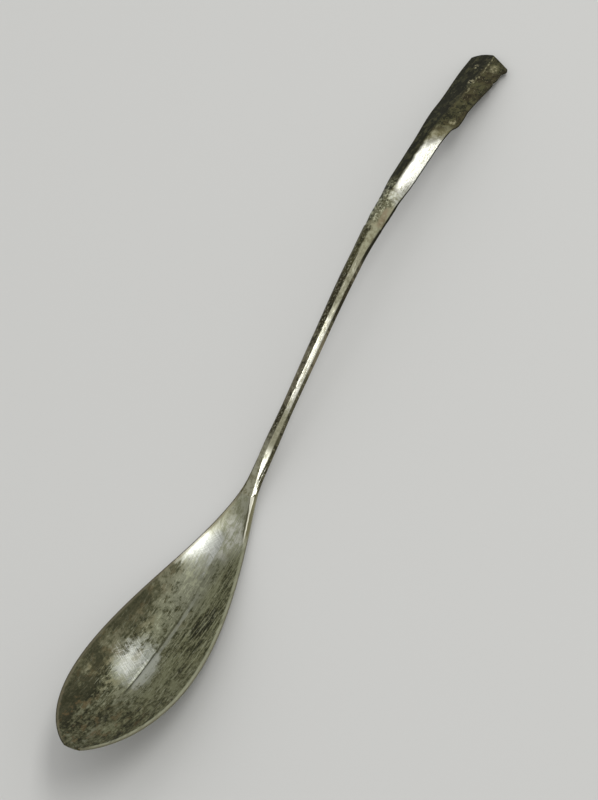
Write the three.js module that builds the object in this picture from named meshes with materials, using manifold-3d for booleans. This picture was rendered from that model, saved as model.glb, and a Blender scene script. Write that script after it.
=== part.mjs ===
// A hand-wrought silver spoon: a leaf-shaped bowl, a forged rod stem and a flattened blade,
// soldered together at the neck and again at an old mend where the blade broke away.
// Millimetres and degrees. +X runs from the bowl to the blade, +Z is up, and the spoon lies
// at rest on z = 0, with the origin in the middle of the flat worn under the bowl.

import * as THREE from "three";
import { mergeVertices } from "three/addons/utils/BufferGeometryUtils.js";
import Module from "manifold-3d";

const wasm = await Module();
wasm.setup();

// Driving dimensions

// the centre line, as places measured along it from the bowl's point
const spoonLength = 232;
const pointAngle = 0.3;
const rimSweepAngle = 17.2;
const rimSweepRun = 80;
const neckBend = { place: 76.4, run: 34.5, angle: 15.5 };
const mendBend = { place: 155.9, run: 54, angle: -17.4 };
const endBend = { place: 196, run: 12, angle: -9 };

// the bowl
const bowlWidth = 27.7;
const bowlRun = 96;
const pointWear = 0.9;
const pointSharpness = 0.68;
const shoulderTaper = 1.48;
const bowlDepth = 3.1;
const depthFront = 0.95;
const depthBack = 1.7;
const bowlWall = 0.9;
const rimLand = 0.8;
const rimEdge = 0.55;
const mostLandShare = 0.3;
const keelSharpness = 1.75;
const bellyRoundness = 2;
const hollowEnd = { place: 90, run: 26 };

// the handle's width and thickness at the places where the smith's hammer changed them
const neck = { place: 92, width: 3.7, thickness: 3.5 };
const waist = { place: 108, width: 3, thickness: 3.1 };
const stemMiddle = { place: 128, width: 3.35, thickness: 3.1 };
const stemEnd = { place: 150, width: 3.8, thickness: 3.1 };
const mendMiddle = { place: 167, width: 5.2, thickness: 2.8 };
const bladeRoot = { place: 178, width: 6.7, thickness: 2.1 };
const bladeWaist = { place: 190, width: 6.9, thickness: 1.8 };
const bladeFlare = { place: 206, width: 8.8, thickness: 1.5 };
const bladeEnd = { place: 225, width: 10.7, thickness: 1.3 };
const flatteningStart = 150;
const flatteningRun = 34;
const shoulderBlend = 4;
const rodRoundness = 2.3;
const neckFlatness = 5;
const neckFlatEnd = { place: 100, run: 24 };
const rodBulge = 0.5;
const ridgeSharpness = 1.25;
const leastEdge = 0.3;

// how far the blade's ridge lies to the left of its middle, at the root and at the end
const ridgeRoot = 0.6;
const ridgeTip = -0.6;

// the joints
const neckSeam = 84;
const neckTongue = 8;
const neckTongueDrop = 0.7;
const mendStart = 160;
const mendEnd = 172;
const mendTongue = 5;
const solderProud = 0.22;
const solderLump = 0.12;
const solderLumpPitch = 2.9;
const solderLumpAngle = 97;
const solderTwist = 3;

// how deep the flats are worn where the spoon stands
const wornDepth = 0.22;

// metal that the hammer spread past the blade's right edge, measured back from its end
const shoulder = { back: 33.1, rise: 2.6, fullRun: 4.6, fall: 8, proud: 0.8 };
const tongue = { back: 6, rise: 1, fullRun: 5, fall: 2, proud: 0.65 };

// the broken end, measured back from its furthest point and in from the blade's edges
const endCorner = { back: 2.6, inset: 0.15 };
const endCrown = { back: 0.1, inset: 5.2 };
const endRounding = 1.9;
const tongueCorner = { back: 4, inset: 0.43 };
const tongueTip = { back: 5.1, inset: 0 };
const notch = { back: 6.6, inset: 0.25 };
const chipFront = { back: 10.1, inset: 0.15 };
const chipBottom = { back: 10.9, inset: 0.6 };
const chipBack = { back: 12.5, inset: 0 };
const cutClearance = 1;

// facets
const bowlStep = 2.4;
const handleStep = 4;
const bladeStep = 1.5;
const bladeStepsFrom = 190;
const solderStep = 1;
const tipStep = 0.35;
const tipGrowth = 1.5;
const tipStations = 7;
const tipJoin = 1.2;
const ringTop = 15;
const ringUnder = 17;
const roundingSteps = 6;
const walkStep = 0.25;

const silver = { color: 0x77776a, metalness: 0.9, roughness: 0.42 };
const wornSilver = { color: 0x8d8d84, metalness: 0.95, roughness: 0.3 };
const blackenedSilver = { color: 0x4c4a38, metalness: 0.7, roughness: 0.6 };
const solder = { color: 0x6f6b58, metalness: 0.5, roughness: 0.8 };

const radians = Math.PI / 180;

function smoothStep(t) {
  const x = Math.min(1, Math.max(0, t));
  return x * x * (3 - 2 * x);
}

// 0 before a bend or blend, 1 past it, turning smoothly over its run
function past(place, { place: middle, run }) {
  return smoothStep((place - middle) / run + 0.5);
}

// The centre line's slope before the spoon is laid down
function slopeAt(place) {
  const sweep = (rimSweepAngle * Math.min(place, rimSweepRun)) / rimSweepRun;
  const bends = [neckBend, mendBend, endBend];
  const turned = bends.reduce((sum, bend) => sum + bend.angle * past(place, bend), 0);
  return (pointAngle + sweep + turned) * radians;
}

// Full at one place and fading to nothing at both ends of the bowl's run
function swelling(place, front, back) {
  const u = Math.min(1, Math.max(0, place / bowlRun));
  const full = front / (front + back);
  const peak = full ** front * (1 - full) ** back;
  return (u ** front * (1 - u) ** back) / peak;
}

const handlePlaces = [
  neck, waist, stemMiddle, stemEnd, mendMiddle, bladeRoot, bladeWaist, bladeFlare, bladeEnd,
];

// A smooth run through the handle's forged sizes
function handleSize(place, key) {
  const last = handlePlaces.length - 1;
  if (place <= handlePlaces[0].place) {
    return handlePlaces[0][key];
  }
  if (place >= handlePlaces[last].place) {
    return handlePlaces[last][key];
  }
  const next = handlePlaces.findIndex((size) => size.place > place);
  const from = handlePlaces[next - 1];
  const to = handlePlaces[next];
  return from[key] + (to[key] - from[key]) * smoothStep((place - from.place) / (to.place - from.place));
}

// Half the spoon's width: the bowl's swelling, met by the handle behind it
function halfWidth(place) {
  const bowl = (bowlWidth / 2) * swelling(place, pointSharpness, shoulderTaper);
  const handle = (handleSize(place, "width") / 2) * smoothStep(place / neck.place);
  return (bowl ** shoulderBlend + handle ** shoulderBlend) ** (1 / shoulderBlend);
}

// How far the right edge stands out past half the width
function spreadAt(place) {
  return [shoulder, tongue].reduce((sum, spread) => {
    const start = spoonLength - spread.back;
    const risen = past(place, { place: start, run: spread.rise });
    const fallen = past(place, { place: start + spread.fullRun, run: spread.fall });
    return sum + spread.proud * risen * (1 - fallen);
  }, 0);
}

// One section across the spoon: how far it rises or dips from the rim's level, how round it is,
// and how far its ridge lies to the left of the middle
function sectionAt(place) {
  const rod = past(place, hollowEnd);
  const fullness = swelling(place, depthFront, depthBack);
  const flat = smoothStep((place - flatteningStart) / flatteningRun);
  const hollow = bowlDepth * fullness;
  const wall = THREE.MathUtils.lerp(rimEdge, bowlWall, fullness);
  const halfThickness = handleSize(place, "thickness") / 2;
  const rodPower = THREE.MathUtils.lerp(neckFlatness, rodRoundness, past(place, neckFlatEnd));
  const ridgeShift = smoothStep((place - bladeRoot.place) / (bladeEnd.place - bladeRoot.place));
  const left = halfWidth(place);
  return {
    left,
    right: left + spreadAt(place),
    land: Math.min(rimLand * (1 - rod), left * mostLandShare),
    edge: rimEdge * (1 - rod) + leastEdge * rod,
    top: -hollow * (1 - rod) + halfThickness * rod,
    ridge: THREE.MathUtils.lerp(ridgeRoot, ridgeTip, ridgeShift) * flat,
    topPower: THREE.MathUtils.lerp(keelSharpness * (1 - rod) + rodPower * rod, ridgeSharpness, flat),
    topBulge: THREE.MathUtils.lerp(1 - rodBulge * rod, 1, flat),
    under: (hollow + wall) * (1 - rod) + halfThickness * rod,
    underPower: bellyRoundness * (1 - rod) + rodRoundness * rod,
    underBulge: 1 - rodBulge * rod,
  };
}

// Points round one section, as [across, up], from its left edge under the spoon and back over the top
function sectionRing(place, swellAt) {
  const section = sectionAt(place);
  const points = [];
  for (let i = 0; i < ringUnder; i += 1) {
    const swell = swellAt(place, i);
    const across = Math.cos((Math.PI * i) / (ringUnder - 1));
    const half = (across < 0 ? section.right : section.left) + swell;
    const sag = (1 - Math.abs(across) ** section.underPower) ** section.underBulge;
    points.push([half * across, -section.edge - (section.under + swell - section.edge) * sag]);
  }
  for (let i = 0; i < ringTop; i += 1) {
    const swell = swellAt(place, ringUnder + i);
    const across = -Math.cos((Math.PI * i) / (ringTop - 1));
    const side = across * ((across < 0 ? section.right : section.left) + swell);
    const slopeRun = side < section.ridge ? section.right + section.ridge : section.left - section.ridge;
    const inward = Math.min(1, Math.abs(side - section.ridge) / (slopeRun + swell - section.land));
    const rise = (1 - inward ** section.topPower) ** section.topBulge;
    points.push([side, (section.top + swell) * rise]);
  }
  return points;
}

// The centre line as points, each with its slope, before the spoon is laid down
function walkCentreLine() {
  const points = [];
  let x = 0;
  let z = 0;
  for (let place = 0; place <= spoonLength + walkStep; place += walkStep) {
    points.push({ place, x, z, slope: slopeAt(place) });
    x += Math.cos(slopeAt(place + walkStep / 2)) * walkStep;
    z += Math.sin(slopeAt(place + walkStep / 2)) * walkStep;
  }
  return points;
}

const centreLine = walkCentreLine();

function onCentreLine(place) {
  const index = Math.min(centreLine.length - 2, Math.max(0, Math.floor(place / walkStep)));
  const from = centreLine[index];
  const to = centreLine[index + 1];
  const part = (place - from.place) / walkStep;
  return {
    x: THREE.MathUtils.lerp(from.x, to.x, part),
    z: THREE.MathUtils.lerp(from.z, to.z, part),
    slope: THREE.MathUtils.lerp(from.slope, to.slope, part),
  };
}

// The lowest point of the section at a place
function undersideAt(place) {
  const { x, z, slope } = onCentreLine(place);
  const { under } = sectionAt(place);
  return { x: x + Math.sin(slope) * under, z: z - Math.cos(slope) * under };
}

// How the spoon lies by itself: down on the blade's end and on one place under the bowl
function findRest() {
  const heel = undersideAt(spoonLength);
  let rest = { tilt: -Infinity, toe: heel };
  for (let place = 0; place < neck.place; place += walkStep) {
    const toe = undersideAt(place);
    const tilt = Math.atan2(heel.z - toe.z, heel.x - toe.x);
    if (tilt > rest.tilt) {
      rest = { tilt, toe };
    }
  }
  return rest;
}

const rest = findRest();

// From the centre line's own plane to the spoon at rest
function layDown(x, z) {
  const dx = x - rest.toe.x;
  const dz = z - rest.toe.z;
  return {
    x: dx * Math.cos(rest.tilt) + dz * Math.sin(rest.tilt),
    z: -dx * Math.sin(rest.tilt) + dz * Math.cos(rest.tilt) - wornDepth,
  };
}

// The centre line at rest
function restPoint(place) {
  const { x, z } = onCentreLine(place);
  return layDown(x, z);
}

function solidFrom(geometry) {
  geometry.deleteAttribute("normal");
  geometry.deleteAttribute("uv");
  const merged = mergeVertices(geometry);
  return new wasm.Manifold(new wasm.Mesh({
    numProp: 3,
    vertProperties: new Float32Array(merged.attributes.position.array),
    triVerts: new Uint32Array(merged.index.array),
  }));
}

// A closed skin over the sections at the given places
function loft(places, swellAt) {
  const count = ringUnder + ringTop;
  const positions = [];
  const index = [];
  for (const place of places) {
    const { x, z, slope } = onCentreLine(place);
    for (const [across, up] of sectionRing(place, swellAt)) {
      const laid = layDown(x - Math.sin(slope) * up, z + Math.cos(slope) * up);
      positions.push(laid.x, across, laid.z);
    }
  }
  for (let ring = 0; ring + 1 < places.length; ring += 1) {
    for (let i = 0; i < count; i += 1) {
      const a = ring * count + i;
      const b = ring * count + ((i + 1) % count);
      index.push(a, a + count, b, b, a + count, b + count);
    }
  }
  closeEnd(positions, index, 0, count, true);
  closeEnd(positions, index, places.length - 1, count, false);
  const geometry = new THREE.BufferGeometry();
  geometry.setAttribute("position", new THREE.Float32BufferAttribute(positions, 3));
  geometry.setIndex(index);
  return solidFrom(geometry);
}

// A strip of triangles across an end section, from its underside to its top
function closeEnd(positions, index, ring, count, front) {
  const start = ring * count;
  const triangle = (a, b, c) => index.push(...(front ? [a, b, c] : [a, c, b]));
  let low = 0;
  let high = count - 1;
  while (high - low > 1) {
    triangle(start + low, start + low + 1, start + high);
    low += 1;
    if (high - low > 1) {
      triangle(start + low, start + high - 1, start + high);
      high -= 1;
    }
  }
}

function placesBetween(from, to, step) {
  const count = Math.max(1, Math.ceil((to - from) / step));
  return Array.from({ length: count }, (_, i) => from + ((to - from) * i) / count);
}

function boxBetween(low, high) {
  const size = new THREE.Vector3().subVectors(high, low);
  const geometry = new THREE.BoxGeometry(size.x, size.y, size.z);
  const middle = new THREE.Vector3().addVectors(low, high).multiplyScalar(0.5);
  geometry.translate(middle.x, middle.y, middle.z);
  return solidFrom(geometry);
}

const reach = spoonLength * 2;

// Everything past a place along X, and above or below a level where one is given
function region(fromX, toX, lowZ = -reach, highZ = reach) {
  return boxBetween(new THREE.Vector3(fromX, -reach, lowZ), new THREE.Vector3(toX, reach, highZ));
}

// The whole spoon before it is parted, with its two worn flats
function spoonBlank() {
  const tip = Array.from({ length: tipStations }, (_, i) => pointWear + tipStep * i ** tipGrowth);
  const places = [
    ...tip,
    ...placesBetween(tip[tip.length - 1] + tipJoin, hollowEnd.place, bowlStep),
    ...placesBetween(hollowEnd.place, bladeStepsFrom, handleStep),
    ...placesBetween(bladeStepsFrom, spoonLength, bladeStep),
    spoonLength,
  ];
  const blank = loft(places, () => 0);
  return blank.subtract(region(-reach, reach, -reach, 0));
}

// A point in plan by one of the blade's edges, left or right
function byLeftEdge({ back, inset }) {
  const place = spoonLength - back;
  return new THREE.Vector2(restPoint(place).x, sectionAt(place).left - inset);
}

function byRightEdge({ back, inset }) {
  const place = spoonLength - back;
  return new THREE.Vector2(restPoint(place).x, inset - sectionAt(place).right);
}

// What broke away at the end: a rounded corner, a slanting edge, a tongue and two chips behind it
function lostEnd() {
  const start = byLeftEdge({ back: endCorner.back, inset: -cutClearance });
  const corner = byLeftEdge(endCorner);
  const crown = byLeftEdge(endCrown);
  const beyond = restPoint(spoonLength).x + cutClearance;
  const pastRight = byRightEdge(tongueTip).y - cutClearance;
  const edge = new THREE.Shape();
  edge.moveTo(start.x, start.y);
  edge.lineTo(corner.x, corner.y);
  edge.quadraticCurveTo(crown.x, corner.y - endRounding, crown.x, crown.y);
  for (const place of [tongueCorner, tongueTip, notch, chipFront, chipBottom, chipBack]) {
    const point = byRightEdge(place);
    edge.lineTo(point.x, point.y);
  }
  edge.lineTo(byRightEdge(chipBack).x, pastRight);
  edge.lineTo(beyond, pastRight);
  edge.lineTo(beyond, start.y);
  edge.closePath();
  const settings = { depth: 2 * reach, bevelEnabled: false, curveSegments: roundingSteps };
  const geometry = new THREE.ExtrudeGeometry(edge, settings);
  geometry.translate(0, 0, -reach);
  return solidFrom(geometry);
}

// The lumpy skin of the solder, a little proud of the metal on both sides
function solderSkin() {
  const places = placesBetween(mendStart - handleStep, mendEnd + handleStep, solderStep);
  return loft(places, (place, i) => {
    const along = place / solderLumpPitch;
    const round = i * solderLumpAngle * radians;
    return solderProud + solderLump * Math.sin(along + i) * Math.cos(round - solderTwist * along);
  });
}

const neckX = restPoint(neckSeam).x;
const neckTongueX = restPoint(neckSeam + neckTongue).x;
const neckLevel = restPoint(neckSeam + neckTongue / 2).z - neckTongueDrop;
const mendStartX = restPoint(mendStart).x;
const mendEndX = restPoint(mendEnd).x;
const mendTongueX = restPoint(mendEnd + mendTongue).x;
const mendLevel = restPoint((mendStart + mendEnd) / 2).z - leastEdge;
const lapLevel = restPoint(mendEnd + mendTongue / 2).z - leastEdge;

const blank = spoonBlank();

// The bowl's neck ends in a tongue that runs on under the stem
function makeBowl() {
  return blank.subtract(region(neckTongueX, reach)).subtract(region(neckX, reach, neckLevel));
}

// The stem lies over the bowl's tongue, and ends in one of its own that steps down under the blade's root
function makeStem() {
  const behindBowl = blank.subtract(region(-reach, neckX));
  const overTongue = behindBowl.subtract(region(-reach, neckTongueX, -reach, neckLevel));
  return overTongue
    .subtract(region(mendTongueX, reach))
    .subtract(region(mendStartX, mendEndX, mendLevel))
    .subtract(region(mendEndX, mendTongueX, lapLevel));
}

// The solder fills the gap over the stem's tongue, between the stem's shoulder and the blade
function makeSolder() {
  return solderSkin().intersect(region(mendStartX, mendEndX, mendLevel));
}

// The blade's root lies over the end of the stem's tongue
function makeBlade() {
  const behindMend = blank.subtract(region(-reach, mendEndX));
  return behindMend.subtract(region(-reach, mendTongueX, -reach, lapLevel)).subtract(lostEnd());
}

function meshFrom(name, solid, finish) {
  const { vertProperties, triVerts } = solid.getMesh();
  const geometry = new THREE.BufferGeometry();
  geometry.setAttribute("position", new THREE.Float32BufferAttribute(vertProperties, 3));
  geometry.setIndex([...triVerts]);
  geometry.computeVertexNormals();
  const mesh = new THREE.Mesh(geometry, new THREE.MeshStandardMaterial(finish));
  mesh.name = name;
  return mesh;
}

const spoon = new THREE.Group();
spoon.name = "spoon";
spoon.add(
  meshFrom("bowl", makeBowl(), silver),
  meshFrom("stem", makeStem(), wornSilver),
  meshFrom("mend_solder", makeSolder(), solder),
  meshFrom("blade", makeBlade(), blackenedSilver),
);

export default spoon;
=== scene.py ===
# A hand-wrought silver spoon, dark with old tarnish: a pointed leaf-shaped bowl, a forged stem
# soldered on at the neck, an old crusted mend, and a flattened blade with a broken end.

import bpy
import math

import numpy as np
from mathutils import Matrix, Vector, noise


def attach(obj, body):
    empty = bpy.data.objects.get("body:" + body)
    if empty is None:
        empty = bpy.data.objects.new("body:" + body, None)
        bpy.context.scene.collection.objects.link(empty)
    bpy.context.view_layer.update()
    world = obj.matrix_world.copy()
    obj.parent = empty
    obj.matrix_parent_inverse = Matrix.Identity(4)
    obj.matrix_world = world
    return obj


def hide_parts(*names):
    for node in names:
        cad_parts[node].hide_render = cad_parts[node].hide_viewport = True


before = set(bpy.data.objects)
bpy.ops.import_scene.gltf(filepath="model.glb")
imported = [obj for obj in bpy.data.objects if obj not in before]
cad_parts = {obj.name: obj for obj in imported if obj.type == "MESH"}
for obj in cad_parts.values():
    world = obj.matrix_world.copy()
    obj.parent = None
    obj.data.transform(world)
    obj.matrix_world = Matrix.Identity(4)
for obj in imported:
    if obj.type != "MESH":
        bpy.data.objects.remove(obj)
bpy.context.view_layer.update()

mm = 0.001

# Bowl
# A sheet of silver hammered hollow into a leaf with a shallow keel down its middle. Its rim is filed
# flat and worn, with painted highlight along its right side and painted shade along its left, and its
# neck runs on as a tongue under the stem, where solder holds it.

# the pieces' lengths are in millimetres and angles in degrees, and a pair such as bevel_starts is the
# middle of a blend along the spoon and the run that it takes
spoon_length = 232
far = 2 * spoon_length
everywhere = (-far, far)
point_angle = 0.3
rim_sweep_angle = 17.2
rim_sweep_run = 80
# middle, run and angle of each bend
bends = [(76.4, 34.5, 15.5), (155.9, 54, -17.4), (196, 12, -9)]
walk_step = 0.25

bowl_width = 27.7
bowl_run = 96
point_wear = 0.9
point_sharpness = 0.68
shoulder_taper = 1.48
bowl_depth = 3.1
depth_front = 0.95
depth_back = 1.7
bowl_wall = 0.9
rim_land = 0.8
left_land_shares = (0.6, 0.2)
left_land_narrows = (58, 12)
rim_edge = 0.55
most_land_share = 0.3
keel_sharpness = 1.75
hollow_end = (90, 26)

# place, width and thickness
handle_sizes = [
    (92, 3.7, 3.5), (108, 3, 3.1), (128, 3.35, 3.1), (150, 3.8, 3.1), (167, 5.2, 2.8),
    (178, 6.7, 2.1), (190, 6.9, 1.8), (206, 8.8, 1.5), (225, 10.7, 1.3),
]
# back from the spoon's end, rise, full run, fall, and how far it stands out
hammered_spreads = [(33.1, 2.6, 4.6, 8, 0.8), (6, 1, 5, 2, 0.65)]
flattening_start = 150
flattening_run = 34
shoulder_blend = 4
rod_roundness = 2.3
neck_flatness = 5
neck_flat_end = (100, 24)
rod_bulge = 0.5
ridge_sharpness = 1.25
ridge_run = (178, 225)
ridge_sides = (0.6, -0.6)
least_edge = 0.3
worn_depth = 0.22

neck_seam = 84
neck_tongue = 8
neck_tongue_drop = 0.7

bevel_width = 1.3
bevel_drop = 0.4
bevel_starts = (73, 8)
bevel_ends = (85, 8)


def smooth_step(t):
    t = min(1, max(0, t))
    return t * t * (3 - 2 * t)


def past(place, middle, run):
    """0 before a bend or blend, 1 past it."""
    return smooth_step((place - middle) / run + 0.5)


def between(start, end, share):
    return start + (end - start) * share


def spaced(start, end, count):
    """Evenly spaced places, with both ends among them."""
    return [between(start, end, i / count) for i in range(count + 1)]


def slope_at(place):
    sweep = rim_sweep_angle * min(place, rim_sweep_run) / rim_sweep_run
    turned = sum(angle * past(place, middle, run) for middle, run, angle in bends)
    return math.radians(point_angle + sweep + turned)


def swelling(place, front, back):
    """Full at one place and fading to nothing at both ends of the bowl's run."""
    u = min(1, max(0, place / bowl_run))
    full = front / (front + back)
    return u ** front * (1 - u) ** back / (full ** front * (1 - full) ** back)


def handle_size(place):
    """The forged width and thickness at a place along the handle."""
    for (start, *sizes), (end, *next_sizes) in zip(handle_sizes, handle_sizes[1:]):
        if place < end:
            share = smooth_step((place - start) / (end - start))
            return [between(a, b, share) for a, b in zip(sizes, next_sizes)]
    return handle_sizes[-1][1:]


def half_width(place):
    bowl = bowl_width / 2 * swelling(place, point_sharpness, shoulder_taper)
    handle = handle_size(place)[0] / 2 * smooth_step(place / handle_sizes[0][0])
    return (bowl ** shoulder_blend + handle ** shoulder_blend) ** (1 / shoulder_blend)


def spread_at(place):
    """How far the hammer spread the blade's right edge past half the width."""
    total = 0
    for back, rise, full_run, fall, proud in hammered_spreads:
        start = spoon_length - back
        total += proud * past(place, start, rise) * (1 - past(place, start + full_run, fall))
    return total


def section_at(place):
    rod = past(place, *hollow_end)
    flat = smooth_step((place - flattening_start) / flattening_run)
    fullness = swelling(place, depth_front, depth_back)
    half_thickness = handle_size(place)[1] / 2
    left = half_width(place)
    hollow = bowl_depth * fullness
    wall = between(rim_edge, bowl_wall, fullness)
    land = min(rim_land * (1 - rod), left * most_land_share)
    rod_power = between(neck_flatness, rod_roundness, past(place, *neck_flat_end))
    ridge_share = smooth_step((place - ridge_run[0]) / (ridge_run[1] - ridge_run[0]))
    return {
        "left": left,
        "right": left + spread_at(place),
        "land": land,
        "left_land": land * between(*left_land_shares, past(place, *left_land_narrows)),
        "bevel": bevel_drop * past(place, *bevel_starts) * (1 - past(place, *bevel_ends)),
        "edge": between(rim_edge, least_edge, rod),
        "top": between(-hollow, half_thickness, rod),
        "ridge": between(*ridge_sides, ridge_share) * flat,
        "top_power": between(between(keel_sharpness, rod_power, rod), ridge_sharpness, flat),
        "top_bulge": between(1 - rod_bulge * rod, 1, flat),
        "under": between(hollow + wall, half_thickness, rod),
        "under_power": between(2, rod_roundness, rod),
        "under_bulge": 1 - rod_bulge * rod,
    }


# the centre line, walked from the bowl's point, before the spoon is laid down
line = [(0, 0, 0, slope_at(0))]
while line[-1][0] <= spoon_length:
    place, x, z, slope = line[-1]
    middle_slope = slope_at(place + walk_step / 2)
    x += math.cos(middle_slope) * walk_step
    z += math.sin(middle_slope) * walk_step
    line.append((place + walk_step, x, z, slope_at(place + walk_step)))


def on_line(place):
    index = min(len(line) - 2, max(0, int(place / walk_step)))
    share = place / walk_step - index
    return [between(a, b, share) for a, b in zip(line[index][1:], line[index + 1][1:])]


def underside_at(place):
    x, z, slope = on_line(place)
    under = section_at(place)["under"]
    return x + math.sin(slope) * under, z - math.cos(slope) * under


# the spoon lies on the blade's end and on one place under the bowl
heel_x, heel_z = underside_at(spoon_length)
tilt = -math.inf
for step in range(int(handle_sizes[0][0] / walk_step)):
    x, z = underside_at(step * walk_step)
    angle = math.atan2(heel_z - z, heel_x - x)
    if angle > tilt:
        tilt, toe_x, toe_z = angle, x, z


def lay_down(x, z):
    x, z = x - toe_x, z - toe_z
    return (
        x * math.cos(tilt) + z * math.sin(tilt),
        z * math.cos(tilt) - x * math.sin(tilt) - worn_depth,
    )


def rest_point(place):
    return lay_down(*on_line(place)[:2])


edge_rounding = 0.2
corner_points = 5
corner_turn = 30
relief_fade = 8


def section_ring(place, top_points, under_points, top_relief, under_relief, swell):
    """Points round one section, as (across, up), with a rounded edge on each side."""
    section = section_at(place)
    corner = min(section["edge"] / 2, edge_rounding)
    left, right = section["left"] - corner, section["right"] - corner
    ring = []

    def add(across, up):
        ring.append((across * (1 + swell(place, across, 0)), up))

    for i in range(under_points):
        share = math.cos(math.pi * i / (under_points - 1))
        across = share * (right if share < 0 else left)
        sag = (1 - abs(share) ** section["under_power"]) ** section["under_bulge"]
        up = -section["edge"] - (section["under"] - section["edge"]) * sag
        lift = under_relief(place, across) + swell(place, across, -1)
        add(across, up - lift)
    for i in range(corner_points):
        turn = math.radians(corner_turn * (i + 1) - 90)
        side = section["edge"] - section["bevel"]
        add(-(right + corner * math.cos(turn)), side * (math.sin(turn) - 1) / 2 - section["bevel"])
    for i in range(top_points):
        share = -math.cos(math.pi * i / (top_points - 1))
        across = share * (right if share < 0 else left)
        from_ridge = across - section["ridge"]
        slope_run = section["left"] - section["ridge"] - section["left_land"]
        if from_ridge < 0:
            slope_run = section["right"] + section["ridge"] - section["land"]
        inward = min(1, abs(from_ridge) / (slope_run - corner))
        up = section["top"] * (1 - inward ** section["top_power"]) ** section["top_bulge"]
        up -= section["bevel"] * max(0, 1 - (right + across) / bevel_width)
        lift = top_relief(place, across) * (1 - abs(share) ** relief_fade) + swell(place, across, 1)
        add(across, up + lift)
    for i in range(corner_points):
        turn = math.radians(90 - corner_turn * (i + 1))
        add(left + corner * math.cos(turn), section["edge"] * (math.sin(turn) - 1) / 2)
    return ring


def no_relief(place, across):
    return 0


def no_swell(place, across, side):
    return 0


def no_facets(place, across, up):
    return 1


def forge(
    name, places, top_points, under_points,
    top_relief=no_relief, under_relief=no_relief, swell=no_swell, facets=no_facets,
):
    """A closed skin over the sections at the given places, in metres."""
    verts = []
    for place in places:
        x, z, slope = on_line(place)
        for across, up in section_ring(place, top_points, under_points, top_relief, under_relief, swell):
            scale = facets(place, across, up)
            across, up = across * scale, up * scale
            laid_x, laid_z = lay_down(x - math.sin(slope) * up, z + math.cos(slope) * up)
            verts.append((laid_x * mm, across * mm, laid_z * mm))
    count = top_points + under_points + 2 * corner_points
    faces = []
    for ring in range(len(places) - 1):
        for i in range(count):
            a = ring * count + i
            b = ring * count + (i + 1) % count
            faces.append((a, a + count, b + count, b))
    last = (len(places) - 1) * count
    faces.append([*range(count)])
    faces.append([*reversed(range(last, last + count))])
    mesh = bpy.data.meshes.new(name)
    mesh.from_pydata(verts, [], faces)
    piece = bpy.data.objects.new(name, mesh)
    bpy.context.scene.collection.objects.link(piece)
    return piece


def take_off(piece, corners, sides):
    """Takes a solid, given by its corners in millimetres and its sides, off the piece."""
    mesh = bpy.data.meshes.new("cutter")
    mesh.from_pydata([Vector(corner) * mm for corner in corners], [], sides)
    cutter = bpy.data.objects.new("cutter", mesh)
    bpy.context.scene.collection.objects.link(cutter)
    cut = piece.modifiers.new("cut", "BOOLEAN")
    cut.operation = "DIFFERENCE"
    cut.solver = "MANIFOLD"
    cut.object = cutter
    bpy.context.view_layer.update()
    cut_piece = piece.evaluated_get(bpy.context.evaluated_depsgraph_get())
    cut_mesh = bpy.data.meshes.new_from_object(cut_piece)
    piece.modifiers.clear()
    whole = piece.data
    piece.data = cut_mesh
    bpy.data.meshes.remove(whole)
    bpy.data.objects.remove(cutter)
    bpy.data.meshes.remove(mesh)
    piece.data.name = piece.name


def cut_away(piece, boxes):
    """Takes the boxes, each a run along the spoon and a run of levels, off the piece's full width."""
    sides = [(0, 1, 3, 2), (4, 6, 7, 5), (0, 4, 5, 1), (2, 3, 7, 6), (0, 2, 6, 4), (1, 5, 7, 3)]
    for run, levels in boxes:
        take_off(piece, [(x, y, z) for x in run for y in everywhere for z in levels], sides)


sharp_angle = 40


def mark_places(piece):
    """Stores on each point where it lies on the spoon, and how it lies there.

    "spoon" holds the place along, the place across and how far it faces up. "spoon_side" holds the
    distance in from the nearer edge and the way it faces round the spoon's length, in degrees, 0 up
    and 90 right.
    """
    mesh = piece.data
    mesh.shade_smooth()
    mesh.set_sharp_from_angle(angle=math.radians(sharp_angle))
    points = np.zeros(len(mesh.vertices) * 3)
    mesh.vertices.foreach_get("co", points)
    points = points.reshape(-1, 3) / mm
    normals = np.zeros(len(mesh.vertices) * 3, dtype=np.float32)
    mesh.vertex_normals.foreach_get("vector", normals)
    normals = normals.reshape(-1, 3)
    samples = np.array([
        (place, *lay_down(x, z), slope, section_at(place)["left"], section_at(place)["right"])
        for place, x, z, slope in line
    ])
    gap_x = points[:, None, 0] - samples[None, :, 1]
    gap_z = points[:, None, 2] - samples[None, :, 2]
    nearest = samples[(gap_x ** 2 + gap_z ** 2).argmin(axis=1)]
    lean = nearest[:, 3] - tilt
    facing = normals[:, 2] * np.cos(lean) - normals[:, 0] * np.sin(lean)
    marks = np.stack([nearest[:, 0], points[:, 1], facing], axis=1).astype(np.float32)
    inset = np.where(points[:, 1] > 0, nearest[:, 4] - points[:, 1], nearest[:, 5] + points[:, 1])
    turn = np.degrees(np.arctan2(-normals[:, 1], facing))
    sides = np.stack([inset, turn, np.zeros_like(inset)], axis=1).astype(np.float32)
    for name, values in [("spoon", marks), ("spoon_side", sides)]:
        attribute = mesh.attributes.new(name, "FLOAT_VECTOR", "POINT")
        attribute.data.foreach_set("vector", values.ravel())


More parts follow.
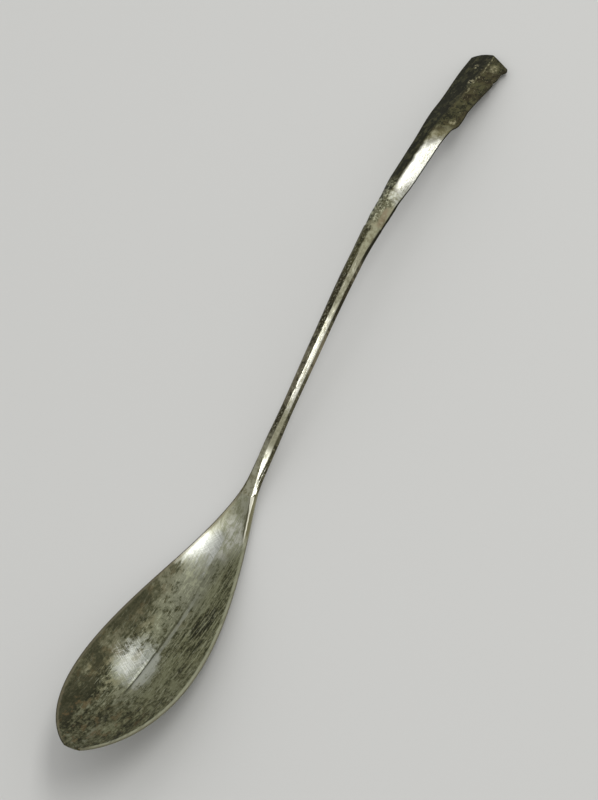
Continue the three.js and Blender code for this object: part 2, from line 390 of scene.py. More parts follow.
class Shade:
    """One output of a material's nodes, so that a finish reads as sums."""

    def __init__(self, tree, socket=None):
        self.tree = tree
        self.socket = socket

    def node(self, kind, settings, inputs, output=0):
        made = self.tree.nodes.new(kind)
        for name, value in settings.items():
            setattr(made, name, value)
        for name, value in inputs.items():
            if isinstance(value, Shade):
                self.tree.links.new(value.socket, made.inputs[name])
            else:
                made.inputs[name].default_value = value
        return Shade(self.tree, made.outputs[output])

    def sum(self, operation, *values):
        return self.node("ShaderNodeMath", {"operation": operation}, dict(enumerate(values)))

    def __add__(self, other):
        return self.sum("ADD", self, other)

    def __sub__(self, other):
        return self.sum("SUBTRACT", self, other)

    def __rsub__(self, other):
        return self.sum("SUBTRACT", other, self)

    def __mul__(self, other):
        return self.sum("MULTIPLY", self, other)

    __radd__ = __add__
    __rmul__ = __mul__

    def between(self, low, high):
        """0 below low, 1 above high, smooth from one to the other."""
        inputs = {"Value": self, "From Min": low, "From Max": high}
        return self.node("ShaderNodeMapRange", {"interpolation_type": "SMOOTHSTEP"}, inputs)

    def inside(self, low, high, soft):
        """1 between low and high, fading to 0 over a soft run at both ends."""
        return self.between(low - soft, low) * (1 - self.between(high, high + soft))

    def sway(self, width):
        """This noise as a shift to either side, the width from one side to the other."""
        return (self - 0.5) * width

    def noise(self, scale, detail, roughness, seed):
        """Noise over the places that this vector holds."""
        inputs = {"Vector": self, "W": seed, "Scale": scale, "Detail": detail, "Roughness": roughness}
        return self.node("ShaderNodeTexNoise", {"noise_dimensions": "4D"}, inputs)

    def over(self, colour, under):
        """The colour laid over another where this mask is 1."""
        factor, first, second, mixed = 0, 6, 7, 2
        inputs = {factor: self, first: under, second: colour}
        return self.node("ShaderNodeMix", {"data_type": "RGBA"}, inputs, mixed)


def tone(red, green, blue):
    """A colour given as it shows on screen, 0 to 255."""
    def linear(share):
        return share / 12.92 if share <= 0.04045 else ((share + 0.055) / 1.055) ** 2.4
    return (*(linear(value / 255) for value in (red, green, blue)), 1)


def coats(colour, layers):
    """The colour under its layers, each a mask and a colour, laid on one after the other."""
    for mask, coat in layers:
        colour = mask.over(coat, colour)
    return colour


def start_finish(name):
    """A new material, with where each point lies: along, across, facing, inset and turn."""
    finish = bpy.data.materials.new(name)
    finish.use_nodes = True
    finish.node_tree.nodes.clear()
    start = Shade(finish.node_tree)
    parts = []
    for mark in ("spoon", "spoon_side"):
        place = start.node("ShaderNodeAttribute", {"attribute_name": mark}, {}, "Vector")
        split = start.node("ShaderNodeSeparateXYZ", {}, {"Vector": place})
        parts += [Shade(finish.node_tree, output) for output in split.socket.node.outputs]
    along, across, facing, inset, turn, _ = parts
    return finish, along, across, facing, inset, turn


def stretched(along, across, facing, by, angle=0):
    """A place on the spoon drawn in along one direction, so that noise on it runs in streaks that way."""
    cos, sin = math.cos(math.radians(angle)), math.sin(math.radians(angle))
    underside_shift = 50
    inputs = {
        "X": (along * cos + across * sin) * (1 / by),
        "Y": across * cos - along * sin,
        "Z": facing.between(-0.1, 0.1) * underside_shift,
    }
    return along.node("ShaderNodeCombineXYZ", {}, inputs)


def near(along, across, place, reach):
    """1 at a place on the spoon, fading to 0 at the reach along and across."""
    off_along, off_across = (along - place[0]) * (1 / reach[0]), (across - place[1]) * (1 / reach[1])
    return 1 - (off_along * off_along + off_across * off_across).between(0.1, 1)


def end_finish(piece, finish, colour, metal, roughness, height, depth):
    """Joins the finish to the shader and gives it to the piece."""
    tree = finish.node_tree
    bump_inputs = {"Strength": 1.0, "Distance": depth * mm, "Height": height}
    bump = Shade(tree).node("ShaderNodeBump", {}, bump_inputs)
    inputs = {"Base Color": colour, "Metallic": metal, "Roughness": roughness, "Normal": bump}
    inputs["Specular IOR Level"] = 0.08
    shader = Shade(tree).node("ShaderNodeBsdfPrincipled", {}, inputs)
    output = tree.nodes.new("ShaderNodeOutputMaterial")
    tree.links.new(shader.socket, output.inputs["Surface"])
    piece.data.materials.clear()
    piece.data.materials.append(finish)


def dents(place, across, depth, reach, seed):
    """Uneven ground as a hammer leaves it, in millimetres."""
    return depth * noise.noise(Vector((place / reach[0], across / reach[1], seed)))


def hammering(place, across):
    broad = dents(place, across, depth=0.07, reach=(9, 6), seed=3.7)
    return broad + dents(place, across, depth=0.015, reach=(3.1, 2.3), seed=9.1)


crease_starts = (24, 10)
crease_ends = (52, 14)
crease_bow = 0.2
crease_bow_run = 9
groove_depth = 0.16
groove_width = 0.22
lip_height = 0.07
lip_width = 0.3
lip_offset = 0.55


def crease(place, across):
    """The line along the keel, a groove with a lip beside it."""
    reach = past(place, *crease_starts) * (1 - past(place, *crease_ends))
    middle = crease_bow * math.sin(place / crease_bow_run)
    groove = math.exp(-((across - middle) / groove_width) ** 2)
    lip = math.exp(-((across - middle + lip_offset) / lip_width) ** 2)
    return reach * (lip_height * lip - groove_depth * groove)


def bowl_relief(place, across):
    return hammering(place, across) + crease(place, across)


# each skin runs on past its joints and is cut there
overrun = 3
tip_rings = 14
tip_ring_gap = 0.12
tip_ring_growth = 1.35
bowl_ring_gap = 0.45
tip_places = [point_wear + tip_ring_gap * i ** tip_ring_growth for i in range(tip_rings)]
bowl_end = neck_seam + neck_tongue + overrun
bowl_rings = int((bowl_end - tip_places[-1]) / bowl_ring_gap)
bowl_places = tip_places + spaced(tip_places[-1], bowl_end, bowl_rings)[1:]
bowl = forge(
    "silver_bowl", bowl_places, top_points=97, under_points=65,
    top_relief=bowl_relief, under_relief=hammering,
)

below_floor = (everywhere, (-far, 0))
neck_x = rest_point(neck_seam)[0]
neck_tongue_x = rest_point(neck_seam + neck_tongue)[0]
neck_level = rest_point(neck_seam + neck_tongue / 2)[1] - neck_tongue_drop
cut_away(bowl, [
    below_floor,
    ((neck_tongue_x, far), everywhere),
    ((neck_x, far), (neck_level, far)),
])
mark_places(bowl)

finish, along, across, facing, inset, _ = start_finish("tarnished_bowl_silver")
blots = stretched(along, across, facing, by=1.7)
streaks = stretched(along, across, facing, by=9)
cloud = blots.noise(scale=0.16, detail=4, roughness=0.55, seed=1)
mottle = blots.noise(scale=0.7, detail=8, roughness=0.72, seed=2)
speck = blots.noise(scale=2.2, detail=5, roughness=0.65, seed=3)
wander = blots.noise(scale=0.2, detail=4, roughness=0.55, seed=8)
haze = blots.noise(scale=0.24, detail=3, roughness=0.5, seed=9)
rust = blots.noise(scale=0.5, detail=4, roughness=0.6, seed=10)
patch = blots.noise(scale=0.45, detail=6, roughness=0.62, seed=12)
streak = streaks.noise(scale=1.3, detail=5, roughness=0.65, seed=4)
hair = streaks.noise(scale=4.5, detail=3, roughness=0.6, seed=5)
long_streak = stretched(along, across, facing, by=11, angle=-2)
long_streak = long_streak.noise(scale=1.7, detail=6, roughness=0.7, seed=11)
crossing = stretched(along, across, facing, by=14, angle=55)
crossing = crossing.noise(scale=4, detail=3, roughness=0.6, seed=6)
recrossing = stretched(along, across, facing, by=14, angle=-35)
recrossing = recrossing.noise(scale=4, detail=3, roughness=0.6, seed=7)

# the bowl's regions, with ragged limits
along_wide = along + cloud.sway(16)
across_wide = across + wander.sway(9)
upside = facing.between(-0.1, 0.1)
tip = 1 - along_wide.between(12, 24)
left = across_wide.between(5, 9.5)
right = 1 - across_wide.between(-6, 0)
upper = along_wide.between(46, 58)
worn_neck = along_wide.between(71, 76)
streaky = right * along_wide.between(28, 44)
pale = near(along_wide, across_wide, place=(72.5, 0), reach=(8, 6)) * upside

# a rubbed clean spot, lightened with painted highlight and brightest at its painted core, and a patch of
# painted highlight on the wall by the neck
across_clean_highlight = across + streak.sway(5)
along_clean_highlight = along + cloud.sway(6) + mottle.sway(8) - across * 0.3
along_highlight_core = along + mottle.sway(8) - across * 0.3
clean_and_highlight = near(along_clean_highlight, across_clean_highlight, place=(32, 2.4), reach=(8.5, 7.5)) * upside
highlight_core = near(along_highlight_core, across_clean_highlight, place=(31.3, 3.6), reach=(5.5, 3.2)) * upside
# the wall patch: painted highlight where the key lamp reflects on the left wall
wall = (along + streak.sway(18) + cloud.sway(8)).between(59, 69) * upside
wall = wall * (1 - along_wide.between(72, 75.5)) * (across + streak.sway(2)).between(0.1, 0.9)

# the tarnish: its grain, how much of it each place needs, and from that its three depths
grain = mottle * 0.65 + speck * 0.2 + streak * 0.15
grain = (right * 0.9).over(mottle * 0.4 + long_streak * 0.35 + speck * 0.25, grain)
grain = (left * 0.6).over(patch, grain)
grain = (streaky * 0.9).over(long_streak * 0.55 + streak * 0.15 + speck * 0.3, grain)
need = tip * (across_wide.between(-4, 6) * 0.22 + 0.12) + left * 0.22 + right * 0.12
need = need - clean_and_highlight * 0.3 - upper * 0.1 - wall * 0.3 - pale * 0.2 + cloud * 0.95 - 0.475
for place, reach, amount in [
    ((22, 6), (6, 4), 0.22), ((35, -6), (7, 3), -0.25), ((48, -6.5), (6, 3), 0.3),
    ((44, 12), (9, 3), 0.3), ((14, 9.5), (6, 3), 0.4),
]:
    need = need + near(along, across, place, reach) * amount
dark = (grain + need * 0.3).between(0.475, 0.56) * (1 - worn_neck * 0.8)
deep = (grain + need * 0.34).between(0.555, 0.64)
light = (grain + need * 0.3).between(0.45, 0.38)
light = light * (1 - wall) * (1 - left * 0.8) * (1 - clean_and_highlight * 0.7)
warm_patch = near(along_wide, across_wide, place=(27, 8.5), reach=(5, 2.5))
dark_patch = near(along_wide, across_wide, place=(16, 9.5), reach=(7, 2.6))
dark_patch = dark_patch * (speck * 0.5 + mottle * 0.5).between(0.4, 0.52)

# fine marks: hairs, scratches both ways over the bright places, and the crease, with painted shade in its
# groove and painted highlight on its lip and the facet to its right
hairs = hair.between(0.56, 0.63) * (1 - tip * 0.8) * (1 - left * 0.7) * (1 - wall)
bright_scratches = (crossing.between(0.54, 0.6) + recrossing.between(0.56, 0.62)) * (clean_and_highlight + wall)
dark_scratches = (crossing.between(0.44, 0.4) + recrossing.between(0.42, 0.38)) * (highlight_core + wall)
across_hair = across + hair.sway(0.5)
crease_shade = upside * across_hair.inside(-0.16, 0.1, 0.14) * along.between(21, 25)
crease_shade = crease_shade * (1 - along.between(34, 62) * 0.75)
crease_highlight = (across + streak.sway(2.5)).inside(-2.2, -0.7, 0.7)
crease_highlight = crease_highlight * near(along + mottle.sway(14), across, place=(30, -1), reach=(7, 4))
crease_highlight = crease_highlight * mottle.between(0.66, 0.44)
crease_lip = across_hair.inside(-1.1, -0.5, 0.3) * along.between(24, 28) * (1 - along.between(50, 60))
crease_highlight = (crease_highlight * 1.4 + crease_lip * 0.5).between(0, 1) * upside

# the filed rim, lighter with painted highlight on the right and darker with painted shade on the left, and
# the bevel along the neck's right shoulder with its strip of painted highlight and a line of painted shade
# inside it
land = (1 - inset.between(0.6, 1)) * facing.between(0.2, 0.6) * along.between(0, 4)
shoulder = along.between(71, 75) * across.between(0, -1) * facing.between(-0.4, -0.2)
strip_widens = along.between(79, 84)
strip_low = 0.95 - strip_widens * 0.2
strip_high = 1.1 + strip_widens * 0.4
highlight_strip = (inset - strip_low).between(-0.15, 0) * (1 - (inset - strip_high).between(0, 0.15))

stain = (speck * 0.6 + streak * 0.4).between(0.42, 0.56).over(tone(58, 59, 38), tone(88, 86, 62))
worn_grey = mottle.between(0.42, 0.56).over(tone(144, 144, 126), tone(114, 114, 92))
colour = coats(tone(112, 113, 92), [
    # the clean spot and its core: rubbed silver with painted highlight
    (clean_and_highlight, tone(138, 141, 131)),
    (highlight_core, tone(168, 170, 162)),
    (upper, tone(118, 119, 101)),
    (haze.between(0.54, 0.64) * 0.5, tone(112, 107, 80)),
    (left * 0.9, tone(94, 92, 73)),
    (warm_patch * 0.7, tone(116, 108, 82)),
    (dark_patch * 0.85, tone(38, 37, 24)),
    (right * 0.8, tone(116, 117, 88)),
    # painted highlight on the wall by the neck
    (wall, tone(178, 180, 172)),
    (worn_neck, worn_grey),
    (pale * (hair * 0.5 + mottle * 0.5).between(0.4, 0.56) * (1 - wall), tone(192, 192, 180)),
    (light * 0.7, tone(150, 152, 128)),
    (dark * (1 - left * 0.2) * 0.9, stain),
    (deep * (1 - left * 0.5), tone(40, 40, 26)),
    (rust.between(0.54, 0.62) * (tip + left * 0.5) * 0.6, tone(96, 82, 56)),
    (long_streak.between(0.46, 0.38) * streaky * 0.6, tone(152, 153, 124)),
    (hairs * 0.5, tone(160, 161, 136)),
    (bright_scratches * 0.4, tone(208, 209, 202)),
    (dark_scratches * 0.4, tone(104, 106, 98)),
    # painted shade in the crease's groove, and painted highlight on its lip and the facet right of it
    (crease_shade * 0.8 * (1 - along.between(60, 66)), tone(62, 62, 46)),
    (crease_highlight * 0.7, tone(164, 166, 154)),
    # the rim's land: painted highlight on the right, painted shade on the left
    (land * across.between(1, -1) * (streak.between(0.38, 0.52) * 0.4 + 0.4), tone(152, 153, 130)),
    (land * across.between(-1, 1) * 0.7, tone(106, 101, 82)),
    # on the shoulder's bevel: a line of painted shade on its inner side and a strip of painted highlight
    (shoulder * inset.inside(1.35, 1.6, 0.15) * 0.7, tone(66, 64, 46)),
    (shoulder * (1 - inset.between(1.25, 1.4)), tone(100, 97, 73)),
    (shoulder * highlight_strip, tone(226, 224, 206)),
    # the outermost edge: a dark line of painted shade on the left, a lighter olive on the right
    (1 - inset.between(0.12, 0.3), across.between(-1, 1).over(tone(60, 58, 42), tone(118, 116, 96))),
])
tarnished = dark * 0.6 + deep * 0.2 + worn_neck * 0.35 + right * 0.2 + tip * 0.2
tarnished = (tarnished + along.inside(38, 58, 4) * 0.35).between(0, 1)
end_finish(
    bowl, finish, colour,
    metal=0.9 - tarnished * 0.5,
    roughness=0.28 + tarnished * 0.24 + (1 - wall) * 0.05,
    height=mottle * 0.3 + hair * 0.3 + speck * 0.3 + crossing * clean_and_highlight * 0.4,
    depth=0.06,
)
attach(bowl, "root")
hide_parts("bowl")

# Stem
# A square rod of silver hammered towards round, with its facets still to be felt. Its front end laps
# the bowl's tongue, and its back end runs on as a tongue under the mend and the blade's root.

mend_start = 160
mend_end = 172
mend_tongue = 5

chamfer_lean = 26
chamfer_start = 1
chamfer_run = 10
facet_lean = 31
facet_count = 8
facet_sharpness = 26
facets_start = (97, 10)
facets_end = (166, 24)


def stem_relief(place, across):
    return dents(place, across, depth=0.05, reach=(5, 2.5), seed=1.3)


def rod_facets(place, across, up):
    """Draws a point of the rod's section in or out onto the smith's soft facets."""
    lean = math.radians(chamfer_lean)
    start = chamfer_start * (1 - min(1, max(0, (place - neck_seam) / chamfer_run)))
    chamfer = start * math.sin(lean) + section_at(place)["top"] * math.cos(lean)
    out = up * math.cos(lean) - across * math.sin(lean)
    cut = min(1, chamfer / max(out, least_edge))
    share = past(place, *facets_start) * (1 - past(place, *facets_end))
    width, thickness = handle_size(place)
    across, up = across * 2 / width, up * 2 / thickness
    around = math.atan2(-across, up)
    total = 0
    for i in range(facet_count):
        off = around - math.radians(facet_lean + 360 / facet_count * i)
        total += max(0, math.cos(off)) ** facet_sharpness
    return between(cut, total ** (-1 / facet_sharpness) / math.hypot(across, up), share)


stem_begins = neck_seam - overrun
stem_stops = mend_end + mend_tongue + overrun
stem_ring_gap = 0.5
stem_places = spaced(stem_begins, stem_stops, int((stem_stops - stem_begins) / stem_ring_gap))
stem = forge(
    "silver_stem", stem_places, top_points=49, under_points=49,
    top_relief=stem_relief, under_relief=stem_relief, facets=rod_facets,
)
mend_start_x = rest_point(mend_start)[0]
mend_end_x = rest_point(mend_end)[0]
mend_tongue_x = rest_point(mend_end + mend_tongue)[0]
mend_level = rest_point((mend_start + mend_end) / 2)[1] - least_edge
lap_level = rest_point(mend_end + mend_tongue / 2)[1] - least_edge
cut_away(stem, [
    ((-far, neck_x), everywhere),
    ((-far, neck_tongue_x), (-far, neck_level)),
    ((mend_tongue_x, far), everywhere),
    ((mend_start_x, mend_end_x), (mend_level, far)),
    ((mend_end_x, far), (lap_level, far)),
])
mark_places(stem)


def shaded_right_edge(inset, across):
    """The thin line of painted shade along the right edge."""
    return (1 - inset.between(0.12, 0.28)) * across.between(0.5, -0.5)


finish, along, across, facing, inset, turn = start_finish("burnished_and_highlight_stem_silver")
blots = stretched(along, across, facing, by=1.5)
streaks = stretched(along, across, facing, by=7)
mottle = blots.noise(scale=0.8, detail=7, roughness=0.7, seed=11)
speck = blots.noise(scale=2.6, detail=5, roughness=0.7, seed=12)
streak = streaks.noise(scale=1.8, detail=5, roughness=0.65, seed=13)
hair = streaks.noise(scale=5, detail=3, roughness=0.6, seed=14)

# the band along the top, burnished and brightened with painted highlight, with dark sides of tarnish and
# painted shade to its left and to its right
ragged_turn = turn + mottle.sway(42) + hair.sway(26) - along.between(98, 106) * 8
back_turn = ragged_turn - along.between(152, 160) * 45
neck = 1 - along.between(95, 103)
neck_edge = (inset - (1 - along.between(84, 88)) * 0.15).between(0.38, 0.52)
# the left side's painted shade and tarnish reach in over the band's left part
left_dark_widening = (across + hair.sway(0.8) + mottle.sway(1.2)).between(-0.5, -0.1)
left_dark_widening = left_dark_widening * along.between(103, 107) * (1 - along.between(146, 152))
on_left = (1 - ragged_turn.between(4, 9) + left_dark_widening).between(0, 1)
on_right = (back_turn.between(45, 50) + neck * (1 - neck_edge)).between(0, 1)
# the strip by the neck's right side: painted highlight
highlight_strip = (ragged_turn - along.inside(90, 94, 4) * 5).between(10, 16) * (1 - along.between(94, 98))
burnished_and_highlight = (along + mottle.sway(20)).between(105, 112) * (1 - (along + streak.sway(30)).between(128, 138))
burnished_highlight_grain = (streak * 0.4 + mottle * 0.3 + hair * 0.3).between(0.42, 0.54)
solder = (along - across * 1.5).between(150, 155) * (1 - on_right)
solder = solder * (turn + mottle.sway(40)).between(-10, 4)
# a light line of painted highlight along the right edge by the solder
back_line = back_turn.inside(38, 44, 4) * along.inside(150, 160, 2)

neck_tone = mottle.between(0.42, 0.56).over(tone(150, 149, 130), tone(116, 113, 90))
left_tone = coats(tone(54, 50, 34), [
    (along.inside(110, 127, 3), tone(98, 93, 76)),
    (1 - along.between(92, 105), neck_tone),
    (along.between(143, 148), tone(70, 68, 44)),
    (speck.between(0.52, 0.6) * 0.8, tone(146, 144, 122)),
    (mottle.between(0.49, 0.42) * (1 - neck) * 0.8, tone(34, 33, 20)),
])
right_tone = coats(tone(84, 81, 60), [
    (along.inside(119, 129, 3) + along.inside(145, 149, 2), tone(122, 115, 92)),
    (along.inside(134, 143, 2), tone(56, 50, 32)),
    (speck.between(0.55, 0.63) * 0.7, tone(156, 152, 126)),
    (mottle.between(0.49, 0.42) * 0.8, tone(44, 41, 27)),
])
colour = (mottle * 0.5 + speck * 0.5).between(0.42, 0.58).over(tone(118, 116, 94), tone(152, 150, 128))
colour = coats(colour, [
    (streak.between(0.54, 0.64) * along.between(132, 136) * 0.6, tone(196, 195, 174)),
    (neck * 0.8, mottle.between(0.4, 0.56).over(tone(144, 142, 122), tone(112, 110, 88))),
    # the burnished band with painted highlight, and the strip of painted highlight
    (burnished_and_highlight, burnished_highlight_grain.over(tone(212, 211, 198), tone(156, 154, 134))),
    (highlight_strip, streak.between(0.36, 0.5).over(tone(228, 227, 210), tone(172, 171, 152))),
    # the dark sides: tarnish with painted shade
    (on_left, left_tone),
    (on_right, right_tone),
    (solder, mottle.between(0.42, 0.56).over(tone(148, 147, 122), tone(122, 119, 94))),
    # painted highlight along the right edge by the solder
    (back_line * 0.6, tone(178, 176, 152)),
    # painted shade along the right edge by the mend
    (shaded_right_edge(inset, across) * along.between(146, 152), tone(42, 40, 27)),
])
# bare metal under the painted highlight of the band and strip
bare_and_highlight = (burnished_and_highlight + highlight_strip) * (1 - on_left) * (1 - on_right)
end_finish(
    stem, finish, colour,
    metal=0.4 + bare_and_highlight * 0.52,
    roughness=0.5 - bare_and_highlight * 0.24,
    height=mottle * 0.4 + hair * 0.2 + speck * 0.5,
    depth=0.07,
)
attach(stem, "root")
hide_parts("stem")

# Mend
# Old solder run over the break between the stem and the blade, now a lumpy grey-green crust. It fills
# the gap above the stem's tongue and holds the blade's root.

mend_rings = 120
crust_starts = (162, 4)
crust_ends = (170, 4)
crust_side = (-0.3, 2)
crust_film = 0.02
crust_rise = 0.12
crust_lumps = 0.3
crust_widening = 0.05
crust_ragged = 0.06


def crust(place, across, side):
    """How far the crust stands out, up or down, or to the sides as a share of the width."""
    spot = Vector((place / 1.5, across / 1.3, side * 7.3))
    lumps = noise.noise(spot) * 0.5 + noise.noise(spot * 2.3) * 0.35 + noise.noise(spot * 5.1) * 0.2
    ends = past(place, *crust_starts) * (1 - past(place, *crust_ends))
    if side == 0:
        return ends * (crust_widening + crust_ragged * lumps)
    return crust_film + ends * (crust_rise + crust_lumps * lumps) * past(across, *crust_side)


mend_places = spaced(mend_start - overrun, mend_end + overrun, mend_rings)
mend = forge("crusted_mend", mend_places, top_points=73, under_points=57, swell=crust)
cut_away(mend, [
    ((-far, mend_start_x), everywhere),
    ((mend_end_x, far), everywhere),
    (everywhere, (-far, mend_level)),
])
mark_places(mend)

finish, along, across, facing, inset, _ = start_finish("crusted_solder")
blots = stretched(along, across, facing, by=1.2)
cloud = blots.noise(scale=0.5, detail=6, roughness=0.65, seed=21)
fleck = blots.noise(scale=1.4, detail=6, roughness=0.75, seed=22)
pit = blots.noise(scale=1.6, detail=6, roughness=0.72, seed=23)
across_rough = across + cloud.sway(5)
crusted = (across_rough + along.between(163, 168) * 2).between(-0.8, 0.4)
crusted = crusted * (along + pit.sway(6)).between(159.5, 162)
# where the blade's bright face begins: bare silver, lightened with painted highlight
blade_start = (along - across_rough * 0.9).between(169.3, 171.3) * (1 - across_rough.between(0.1, 0.6))
# the left edge, darkened as painted shade, with light flecks of crust
shaded_left_edge = across_rough.between(1.2, 1.7)
brown_patch = near(along + cloud.sway(6), across_rough, place=(163, -1.6), reach=(4, 1))
colour = coats(cloud.between(0.42, 0.58).over(tone(120, 116, 90), tone(152, 149, 122)), [
    (brown_patch * fleck.between(0.62, 0.46) * 0.65, tone(132, 115, 92)),
    (crusted * pit.between(0.44, 0.52) * 0.85, tone(92, 92, 70)),
    (crusted * fleck.between(0.49, 0.57) * 0.9, tone(188, 188, 160)),
    (crusted * pit.between(0.48, 0.42) * 0.9, tone(40, 40, 25)),
    # the left edge: painted shade, with flecks of crust
    (shaded_left_edge * 0.85, tone(46, 47, 31)),
    (shaded_left_edge * fleck.between(0.5, 0.55) * 0.85, tone(166, 168, 144)),
    # the bright face's start: painted highlight on bare silver
    (blade_start, fleck.between(0.4, 0.56).over(tone(196, 197, 184), tone(146, 145, 124))),
    # painted shade along the right edge
    (shaded_right_edge(inset, across), tone(40, 38, 26)),
])
end_finish(
    mend, finish, colour,
    metal=0.3 + blade_start * 0.55,
    roughness=0.6 - blade_start * 0.28,
    height=cloud * 0.4 + fleck * 0.5 + pit * 0.4,
    depth=0.2,
)
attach(mend, "root")
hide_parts("mend_solder")

# Blade
# The handle's end, hammered flat to a ridge and flared. One face is rubbed bare and carries a painted
# highlight, the rest is under a dark patina with painted shade on the left face, and its end broke away on a
# slant and left a small tongue at one corner.

blade_rings = 230
roughened_from = (200, 8)
end_corner = (2.6, 0.15)
end_crown = (0.1, 5.2)
end_rounding = 1.9
end_rounding_steps = 8
# back from the spoon's end and in from the right edge
broken_edge = [(4, 0.43), (5.1, 0), (6.6, 0.25), (10.1, 0.15), (10.9, 0.6), (12.5, 0)]
cut_clearance = 1


def by_left_edge(back, inset):
    place = spoon_length - back
    return rest_point(place)[0], section_at(place)["left"] - inset


def by_right_edge(back, inset):
    place = spoon_length - back
    return rest_point(place)[0], inset - section_at(place)["right"]


def blade_relief(place, across):
    rough = 0.03 * past(place, *roughened_from)
    broad = dents(place, across, depth=0.05, reach=(7, 3.5), seed=5.1)
    return broad + dents(place, across, depth=rough, reach=(1.7, 1.2), seed=2.2)


blade_places = spaced(mend_end - overrun, spoon_length, blade_rings)
blade = forge(
    "silver_blade", blade_places, top_points=65, under_points=49,
    top_relief=blade_relief, under_relief=blade_relief,
)
cut_away(blade, [
    below_floor,
    ((-far, mend_end_x), everywhere),
    ((-far, mend_tongue_x), (-far, lap_level)),
])

# what broke away, drawn from the rounded left corner along the break and round outside it
corner_x, corner_y = by_left_edge(*end_corner)
crown_x, crown_y = by_left_edge(*end_crown)
lost = [by_left_edge(end_corner[0], -cut_clearance)]
for t in spaced(0, 1, end_rounding_steps):
    lost.append((
        (1 - t) ** 2 * corner_x + 2 * t * (1 - t) * crown_x + t * t * crown_x,
        (1 - t) ** 2 * corner_y + 2 * t * (1 - t) * (corner_y - end_rounding) + t * t * crown_y,
    ))
lost += [by_right_edge(*point) for point in broken_edge]
past_right = by_right_edge(*broken_edge[1])[1] - cut_clearance
beyond = rest_point(spoon_length)[0] + cut_clearance
lost += [(lost[-1][0], past_right), (beyond, past_right), (beyond, lost[0][1])]
total = len(lost)
lost_sides = [[*reversed(range(total))], [*range(total, 2 * total)]]
lost_sides += [(i, (i + 1) % total, (i + 1) % total + total, i + total) for i in range(total)]
take_off(blade, [(x, y, z) for z in everywhere for x, y in lost], lost_sides)
mark_places(blade)

finish, along, across, facing, inset, _ = start_finish("dark_blade_silver")
blots = stretched(along, across, facing, by=1.3)
streaks = stretched(along, across, facing, by=6)
mottle = blots.noise(scale=0.6, detail=8, roughness=0.72, seed=31)
patch = blots.noise(scale=0.3, detail=5, roughness=0.6, seed=32)
fleck = blots.noise(scale=1.6, detail=6, roughness=0.78, seed=33)
streak = streaks.noise(scale=1.4, detail=5, roughness=0.65, seed=34)
hair = streaks.noise(scale=4.4, detail=3, roughness=0.6, seed=35)

# the bright facet, right of the ridge: bare silver with painted highlight by the mend, and olive where the
# patina begins
ridge_shift = (along - ridge_run[0]).between(0, ridge_run[1] - ridge_run[0])
off_ridge = across - 0.35 + ridge_shift * 0.9
right_face = (off_ridge + mottle.sway(1.2) + hair.sway(0.6)).between(-0.6, 0.35)
right_face = (1 - right_face) * facing.between(0, 0.25)
along_worn = along + mottle.sway(6) + streak.sway(5)
bare_and_highlight = right_face * (1 - (along_worn + (across + 3.5).between(0, 4.5) * 3).between(190.5, 196))
bare_and_highlight = bare_and_highlight * (along_worn - off_ridge * 1.8).between(171.5, 177)
olive = right_face * (1 - (along + patch.sway(8) + across * 0.5).between(195, 198.5))
olive_tone = mottle.between(0.42, 0.56).over(tone(110, 105, 76), tone(146, 143, 116))
bare_highlight_tone = (streak * 0.5 + hair * 0.5).between(0.4, 0.54).over(tone(210, 210, 200), tone(168, 168, 152))

# the left facet, patina darkened with painted shade, the flecks, single and in clusters, the worn crest of
# the ridge, the root, and a line of painted shade along the edges
left_facet = off_ridge.between(-0.1, 0.8)
left_mottle = (streak * 0.4 + mottle * 0.6).between(0.49, 0.58)
flecks = fleck.between(0.57, 0.63) * along.between(200, 208) * (1 - off_ridge.between(0, 1.5) * 0.6)
clusters = near(along, across, place=(218.4, 0.4), reach=(1.6, 0.9))
clusters = clusters + near(along, across, place=(226, -2.6), reach=(2.4, 1.6)) * 0.6
clusters = clusters + near(along, across, place=(225.5, 2.2), reach=(1.2, 0.8))
clusters = clusters + near(along, across, place=(200.6, -2.9), reach=(1.4, 1.1)) * 0.8
crest = (off_ridge - 0.05 + patch.sway(2.4)).inside(-0.14, 0.14, 0.14) * along.between(208, 214)
root = (1 - along.between(174, 178)) * off_ridge.between(-0.8, 0)
# a line of painted shade along the edges
edge_shade = 1 - (inset + across.between(0.5, -0.5) * 0.1).between(0.22, 0.38)

colour = (mottle * 0.6 + fleck * 0.4).between(0.44, 0.55).over(tone(32, 32, 19), tone(80, 78, 52))
colour = coats(colour, [
    (patch.between(0.5, 0.58) * 0.3, tone(60, 48, 30)),
    # the left facet: dark patina with painted shade
    (left_facet * 0.9, tone(22, 23, 13)),
    (left_facet * left_mottle * 0.7, tone(74, 73, 50)),
    (flecks * 0.8, tone(132, 126, 96)),
    (clusters * fleck.between(0.48, 0.54) * 0.85, tone(170, 164, 130)),
    (crest * fleck.between(0.49, 0.56) * 0.8, tone(146, 142, 110)),
    # the right face: olive patina, then bare silver with painted highlight
    (olive * (1 - bare_and_highlight) * 0.9, olive_tone),
    (bare_and_highlight, bare_highlight_tone),
    (root * fleck.between(0.5, 0.57) * 0.85, tone(172, 172, 142)),
    # painted shade along the edges
    (edge_shade, tone(42, 40, 27)),
])
end_finish(
    blade, finish, colour,
    metal=0.35 + bare_and_highlight * 0.58,
    roughness=0.52 - bare_and_highlight * 0.26,
    height=mottle * 0.4 + fleck * 0.4 + hair * 0.2,
    depth=0.08,
)
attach(blade, "root")
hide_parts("blade")

# Floor, light and camera
# A plain pale floor under two soft lamps in a light room. The camera looks at the spoon's own faces from
# where the photograph does, which leaves it rolled a little over the floor. The sizes of the floor and
# the lamps are in metres.

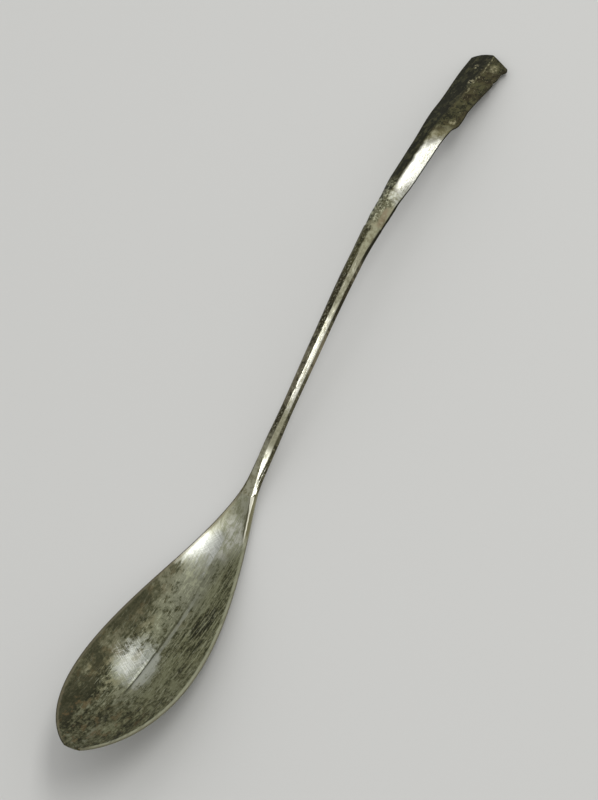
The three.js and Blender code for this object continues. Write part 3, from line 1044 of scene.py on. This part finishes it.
floor_reach = 6
floor_corners = [(-1, -1), (1, -1), (1, 1), (-1, 1)]
floor_mesh = bpy.data.meshes.new("floor")
floor_mesh.from_pydata([(x * floor_reach, y * floor_reach, 0) for x, y in floor_corners], [], [(0, 1, 2, 3)])
floor = bpy.data.objects.new("floor", floor_mesh)
bpy.context.scene.collection.objects.link(floor)
floor_finish = bpy.data.materials.new("pale_floor")
floor_finish.use_nodes = True
floor_inputs = floor_finish.node_tree.nodes["Principled BSDF"].inputs
floor_inputs["Base Color"].default_value = tone(206, 206, 203)
floor_inputs["Roughness"].default_value = 0.8
floor_mesh.materials.append(floor_finish)

aim = Vector((45.5, 1.5, 0)) * mm


def lamp(name, direction, distance, width, length, power):
    light = bpy.data.lights.new(name, "AREA")
    light.shape = "RECTANGLE"
    light.size = width
    light.size_y = length
    light.energy = power
    holder = bpy.data.objects.new(name, light)
    holder.location = aim + Vector(direction).normalized() * distance
    holder.rotation_mode = "QUATERNION"
    holder.rotation_quaternion = Vector(direction).to_track_quat("Z", "Y")
    bpy.context.scene.collection.objects.link(holder)


lamp("key", direction=(0.17, -0.34, 0.92), distance=1.2, width=0.72, length=0.29, power=3.6)
lamp("panel", direction=(0.764, 0.053, 0.643), distance=1.2, width=0.46, length=0.2, power=1.15)

room_grey = 0.68
world = bpy.data.worlds.new("studio")
world.use_nodes = True
world_inputs = world.node_tree.nodes["Background"].inputs
world_inputs["Color"].default_value = (room_grey, room_grey, room_grey, 1)
world_inputs["Strength"].default_value = 1
bpy.context.scene.world = world

view_height = math.radians(35)
view_side = math.radians(62)
view_distance = 695 * mm
lens_angle = math.radians(16)


def as_laid(x, y, z):
    """A direction beside the spoon as it is held in the photograph, with the spoon laid down."""
    return Vector((
        x * math.cos(tilt) + z * math.sin(tilt),
        y,
        z * math.cos(tilt) - x * math.sin(tilt),
    ))


camera_back = as_laid(
    -math.cos(view_height) * math.sin(view_side),
    -math.cos(view_height) * math.cos(view_side),
    math.sin(view_height),
)
camera_right = as_laid(math.cos(view_side), -math.sin(view_side), 0)
camera_axes = Matrix((camera_right, camera_back.cross(camera_right), camera_back)).transposed()
camera_place = aim + camera_back * view_distance
camera_data = bpy.data.cameras.new("camera")
camera_data.lens = camera_data.sensor_width / 2 / math.tan(lens_angle / 2)
camera = bpy.data.objects.new("camera", camera_data)
camera.matrix_world = Matrix.LocRotScale(camera_place, camera_axes.to_quaternion(), None)
bpy.context.scene.collection.objects.link(camera)
bpy.context.scene.camera = camera
bpy.context.scene.view_settings.view_transform = "Standard"
